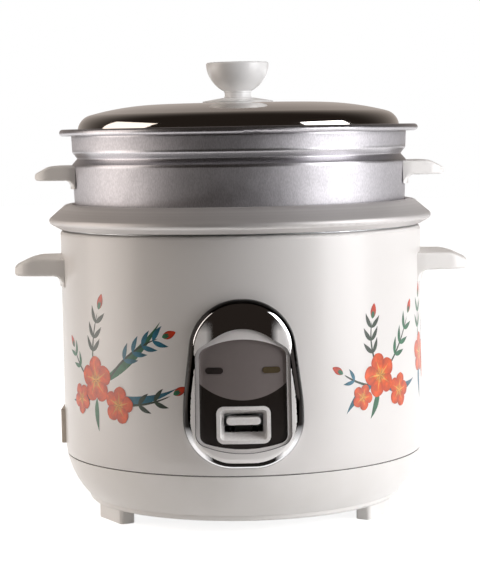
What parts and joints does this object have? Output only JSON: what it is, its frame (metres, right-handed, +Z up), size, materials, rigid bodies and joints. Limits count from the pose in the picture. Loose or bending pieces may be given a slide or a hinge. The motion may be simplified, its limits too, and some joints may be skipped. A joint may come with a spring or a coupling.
{
  "type": "rice cooker",
  "caption": "Drum rice cooker with a lift-out pot on a heating plate, a steamer tier, a domed lid, side handles and a front panel with a press-down switch lever.",
  "frame": {"origin": "on the standing surface, under the middle of the drum", "axes": "+Z up along the drum's axis, -Y towards the switch panel, +X and -X towards the drum's handles"},
  "size_m": [0.3366, 0.2851, 0.3315],
  "materials": {
    "white_paint": "gloss white paint on steel",
    "white_plastic": "moulded white plastic",
    "chromed_plastic": "bright chrome plating",
    "pale_trim": "pale satin lacquer",
    "facia": "black facia with a grey field",
    "silver_plastic": "silver lacquer",
    "cook_lens": "smoked lens",
    "warm_lens": "smoked amber lens",
    "inlet_plastic": "moulded beige plastic",
    "black_plastic": "moulded black plastic",
    "brass": "bare brass",
    "liner_steel": "galvanised sheet",
    "cast_aluminium": "as cast, turned top",
    "spun_aluminium": "satin spun",
    "brushed_aluminium": "fine blasted and brushed",
    "mirror_steel": "mirror polished stainless steel",
    "zinc_steel": "zinc plated",
    "ferrite": "ground ferrite",
    "lamp_glass": "clear glass",
    "control_ceramic": "unglazed ceramic"
  },
  "bodies": {
    "housing": {"body_shell": "white_paint", "base_ring": "white_plastic", "bottom_cover": "white_plastic", "front_left_foot": "white_plastic", "front_right_foot": "white_plastic", "rear_foot": "white_plastic", "left_handle": "white_plastic", "right_handle": "white_plastic", "panel_bezel": "chromed_plastic", "panel_trim_ring": "pale_trim", "panel_plate": "facia", "switch_tray": "silver_plastic", "cook_lens": "cook_lens", "warm_lens": "warm_lens", "inlet_socket": "inlet_plastic", "micro_switch": "black_plastic", "lamp_holder": "black_plastic", "inlet_pins": "brass", "heater_terminals": "brass", "inner_liner": "liner_steel", "heating_plate": "cast_aluminium", "base_bolts": "zinc_steel", "handle_screws": "zinc_steel", "heater_posts": "zinc_steel", "heater_screws": "zinc_steel", "bracket_screws": "zinc_steel", "thermostat_guide": "zinc_steel", "switch_bracket": "zinc_steel", "pivot_pin": "zinc_steel", "cup_spring": "zinc_steel", "release_spring": "zinc_steel", "neon_lamps": "lamp_glass", "warm_thermostat": "control_ceramic", "thermal_fuse": "control_ceramic"},
    "pot": {"cooking_pot": "spun_aluminium"},
    "steamer": {"steamer_bowl": "brushed_aluminium", "steamer_left_handle": "white_plastic", "steamer_right_handle": "white_plastic", "steamer_rivets": "brushed_aluminium"},
    "lid": {"lid_dome": "mirror_steel", "lid_knob": "white_plastic", "knob_collar": "white_plastic", "knob_screw": "zinc_steel"},
    "lever": {"switch_lever": "zinc_steel", "lever_cap": "chromed_plastic"},
    "magnet_rod": {"lift_rod": "zinc_steel", "magnet": "ferrite"},
    "sensor": {"sensor_cup": "spun_aluminium", "sensor_ferrite": "ferrite"}
  },
  "joints": [
    {"name": "pot_lift", "type": "slide", "parent": "housing", "child": "pot", "axis": [0, 0, 1], "range_m": [0, 0.15]},
    {"name": "steamer_lift", "type": "slide", "parent": "pot", "child": "steamer", "axis": [0, 0, 1], "range_m": [0, 0.1]},
    {"name": "lid_lift", "type": "slide", "parent": "steamer", "child": "lid", "axis": [0, 0, 1], "range_m": [0, 0.1]},
    {"name": "lever_press", "type": "hinge", "parent": "housing", "child": "lever", "pos_m": [0, -0.07, 0.0615], "axis": [1, 0, 0], "range_deg": [0, 4.62], "stiffness_Nm_per_rad": 1, "springref_deg": -5.73},
    {"name": "rod_lift", "type": "slide", "parent": "housing", "child": "magnet_rod", "axis": [0, 0, 1], "range_m": [0, 0.006], "deforming": ["release_spring"]},
    {"name": "sensor_press", "type": "slide", "parent": "housing", "child": "sensor", "axis": [0, 0, 1], "range_m": [-0.0025, 0], "stiffness_N_per_m": 400, "springref_m": 0.004, "deforming": ["cup_spring"]}
  ],
  "couplings": [
    {"joint": "rod_lift", "follows": "lever_press", "m_per_rad": 0.07}
  ]
}
